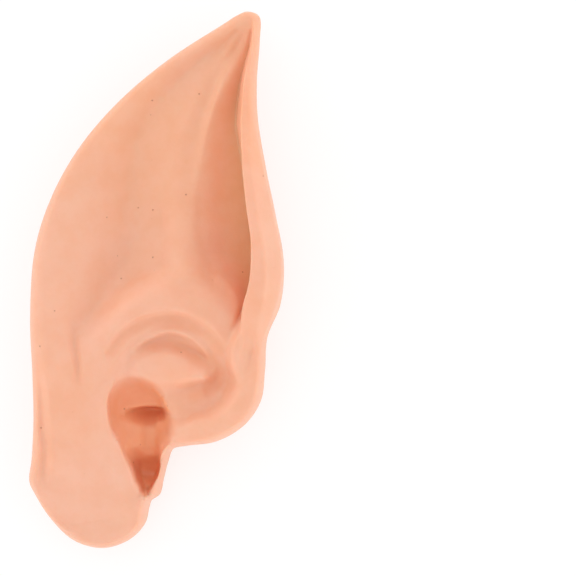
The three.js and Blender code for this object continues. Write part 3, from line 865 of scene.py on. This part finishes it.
class NodeTree:
    """A material's nodes, made by short calls."""

    def __init__(self, name):
        self.material = bpy.data.materials.new(name)
        self.material.use_nodes = True
        self.nodes = self.material.node_tree.nodes
        self.links = self.material.node_tree.links
        self.shader = self.nodes["Principled BSDF"]

    def feed(self, socket, value):
        """Links another node's output to a socket, or sets the socket to a value."""
        if isinstance(value, bpy.types.NodeSocket):
            self.links.new(value, socket)
        else:
            socket.default_value = value

    def feed_shader(self, **inputs):
        """Feeds the shader's sockets, named with underscores for their spaces."""
        for name, value in inputs.items():
            self.feed(self.shader.inputs[name.replace("_", " ")], value)

    def node(self, kind, inputs=None, **settings):
        node = self.nodes.new("ShaderNode" + kind)
        for name, value in settings.items():
            setattr(node, name, value)
        for name, value in (inputs or {}).items():
            self.feed(node.inputs[name], value)
        return node

    def attribute(self, name):
        return self.node("Attribute", attribute_name=name).outputs["Fac"]

    def noise(self, place, size, detail=2.0, roughness=0.5):
        """Cloudy noise with features of about size, in millimetres."""
        inputs = {"Vector": place, "Scale": 1 / (size * MM), "Detail": detail, "Roughness": roughness}
        return self.node("TexNoise", inputs).outputs["Fac"]

    def ranged(self, value, low, high, to_low=0.0, to_high=1.0):
        """Goes smoothly from to_low at low to to_high at high."""
        inputs = {"Value": value, "From Min": low, "From Max": high, "To Min": to_low, "To Max": to_high}
        return self.node("MapRange", inputs, interpolation_type="SMOOTHSTEP").outputs["Result"]

    def math(self, operation, first, second):
        node = self.node("Math", operation=operation)
        for socket, value in zip(node.inputs, (first, second)):
            self.feed(socket, value)
        return node.outputs["Value"]

    def blend(self, share, first, second, mode="MIX"):
        node = self.node("Mix", data_type="RGBA", blend_type=mode)
        for number, value in ((0, share), (6, first), (7, second)):
            self.feed(node.inputs[number], value)
        return node.outputs[2]

    def bump(self, height, depth, normal=None):
        """A bump of depth millimetres, on top of another's normal."""
        inputs = {"Height": height, "Distance": depth * MM, "Strength": 1.0}
        if normal:
            inputs["Normal"] = normal
        return self.node("Bump", inputs).outputs["Normal"]


def rubber_material():
    """Matt flesh-coloured rubber: cloudy colour, painted shade in the hollows with a painted glow along the
    hood edge, fine grain and a few small pits.
    """
    tree = NodeTree("skin_rubber")
    place = tree.node("TexCoord").outputs["Object"]
    axes = tree.node("SeparateXYZ", {"Vector": place}).outputs
    clouds = tree.ranged(tree.noise(place, CLOUD_SIZE), *CLOUD_RANGE)
    to_tip = tree.ranged(axes["Y"], *TIP_RANGE)
    blotches = tree.noise(place, BLOTCH_SIZE, 4.0, 0.6)
    grain = tree.noise(place, GRAIN_SIZE, 3.0, 0.6)
    # Painted shade: a tan tint deep in the fossa, fading out higher up
    fossa_shade = tree.ranged(tree.attribute("fossa_shade"), *FOSSA_SHADE_RANGE, 0, FOSSA_SHADE_MOST)
    fossa_shade = tree.math("MULTIPLY", fossa_shade, tree.ranged(axes["Z"], *FOSSA_SHADE_FADE_RANGE, 1, 0))

    cells = tree.node("TexVoronoi", {"Vector": place, "Scale": 1 / (PIT_SPACING * MM)})
    pit_reach = PIT_RADIUS / PIT_SPACING
    pits = tree.ranged(cells.outputs["Distance"], PIT_CORE * pit_reach, pit_reach, 1, 0)
    pick = tree.node("SeparateColor", {"Color": cells.outputs["Color"]}).outputs["Red"]
    pits = tree.math("MULTIPLY", pits, tree.math("GREATER_THAN", pick, PITS_LEFT_OUT))

    colour = tree.blend(tree.math("MULTIPLY", tree.math("ADD", clouds, to_tip), 0.5), PEACH, APRICOT)
    colour = tree.blend(fossa_shade, colour, FOSSA_SHADE_COLOUR)
    # Painted shade in the hollows and grooves, and a painted glow along the hood edge
    colour = tree.blend(tree.attribute("painted_shade_and_glow"), colour, SHADE_AND_GLOW_ORANGE)
    shades = {name: tree.ranged(blotches, *BLOTCH_RANGE, *ends) for name, ends in BLOTCH_SHADES.items()}
    shade = tree.node("CombineColor", shades).outputs["Color"]
    colour = tree.blend(1.0, colour, shade, "MULTIPLY")
    colour = tree.blend(tree.math("MULTIPLY", pits, PIT_STRENGTH), colour, PIT_COLOUR)

    normal = tree.bump(tree.noise(place, BLOTCH_SIZE, 2.0), BLOTCH_DEPTH)
    normal = tree.bump(grain, GRAIN_DEPTH, normal)
    normal = tree.bump(tree.math("SUBTRACT", 1.0, pits), PIT_DEPTH, normal)
    roughness = tree.ranged(blotches, *BLOTCH_RANGE, *ROUGHNESS)
    tree.feed_shader(Base_Color=colour, Roughness=roughness, Normal=normal, Subsurface_Weight=SUBSURFACE_SHARE,
                     Subsurface_Scale=SUBSURFACE_SCALE * MM, Subsurface_Radius=SUBSURFACE_RADII)
    return tree.material


def paper_material():
    """White paper that is lit through from below, so that it shows hardly any shadow."""
    tree = NodeTree("studio_paper")
    tree.feed_shader(Base_Color=PAPER_GREY, Roughness=0.9, Specular_IOR_Level=0.1,
                     Emission_Color=WHITE, Emission_Strength=PAPER_GLOW)
    return tree.material


def add_floor():
    corners = np.array([(-1, -1, 0), (1, -1, 0), (1, 1, 0), (-1, 1, 0)]) * PAPER_HALF / MM
    floor = mesh_object("studio_floor", corners, [[0, 1, 2, 3]])
    floor.data.materials.append(paper_material())


def add_light(name, place, size, watts):
    light = bpy.data.lights.new(name, "AREA")
    light.size = size
    light.energy = watts
    obj = bpy.data.objects.new(name, light)
    obj.location = place
    obj.rotation_euler = (-Vector(place)).to_track_quat("-Z", "Y").to_euler()
    bpy.context.scene.collection.objects.link(obj)


def tent_world():
    """A white tent, brighter at its sides than overhead."""
    world = bpy.data.worlds.new("studio_tent")
    world.use_nodes = True
    nodes, links = world.node_tree.nodes, world.node_tree.links
    background = nodes["Background"]
    background.inputs["Color"].default_value = WHITE
    direction = nodes.new("ShaderNodeTexCoord")
    split = nodes.new("ShaderNodeSeparateXYZ")
    brightness = nodes.new("ShaderNodeMapRange")
    brightness.interpolation_type = "SMOOTHSTEP"
    for name, value in zip(("From Min", "From Max", "To Min", "To Max"), TENT_RANGE + TENT_BRIGHTNESS):
        brightness.inputs[name].default_value = value
    links.new(direction.outputs["Generated"], split.inputs["Vector"])
    links.new(split.outputs["Z"], brightness.inputs["Value"])
    links.new(brightness.outputs["Result"], background.inputs["Strength"])
    return world


def add_studio():
    add_floor()
    bpy.context.scene.world = tent_world()
    add_light("overhead_softbox", SOFTBOX_PLACE, SOFTBOX_SIZE, SOFTBOX_WATTS)
    bpy.context.scene.view_settings.view_transform = "Standard"


def add_camera():
    camera = bpy.data.cameras.new("camera")
    camera.lens = LENS
    camera.sensor_width = SENSOR
    camera.clip_start = 0.01
    pixel = LENGTH / EAR_TALL
    distance = LENGTH * PHOTO_SIDE / EAR_TALL * LENS / SENSOR
    across = (PHOTO_SIDE / 2 - EAR_MIDDLE[0]) * pixel
    along = (EAR_MIDDLE[1] - PHOTO_SIDE / 2) * pixel
    obj = bpy.data.objects.new("camera", camera)
    obj.location = Vector((across, along, PARTING_HEIGHT + distance)) * MM
    bpy.context.scene.collection.objects.link(obj)
    bpy.context.scene.camera = obj


front = HeightMap.of(front_height)
skin = ear_skin(front)
points = np.vstack(skin.points)
ear = mesh_object("ear_skin", points, skin.faces)
# Masks for the painted shade in the hollows, the painted glow along the hood edge and the painted shade in the
# fossa
mark(ear, "painted_shade_and_glow", PAINTED_SHADE_AND_GLOW, points, front)
mark(ear, "fossa_shade", FOSSA_SHADE_SHARES, points, front)
ear.data.materials.append(rubber_material())
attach(ear, "root")
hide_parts("ear_shell")
add_studio()
add_camera()
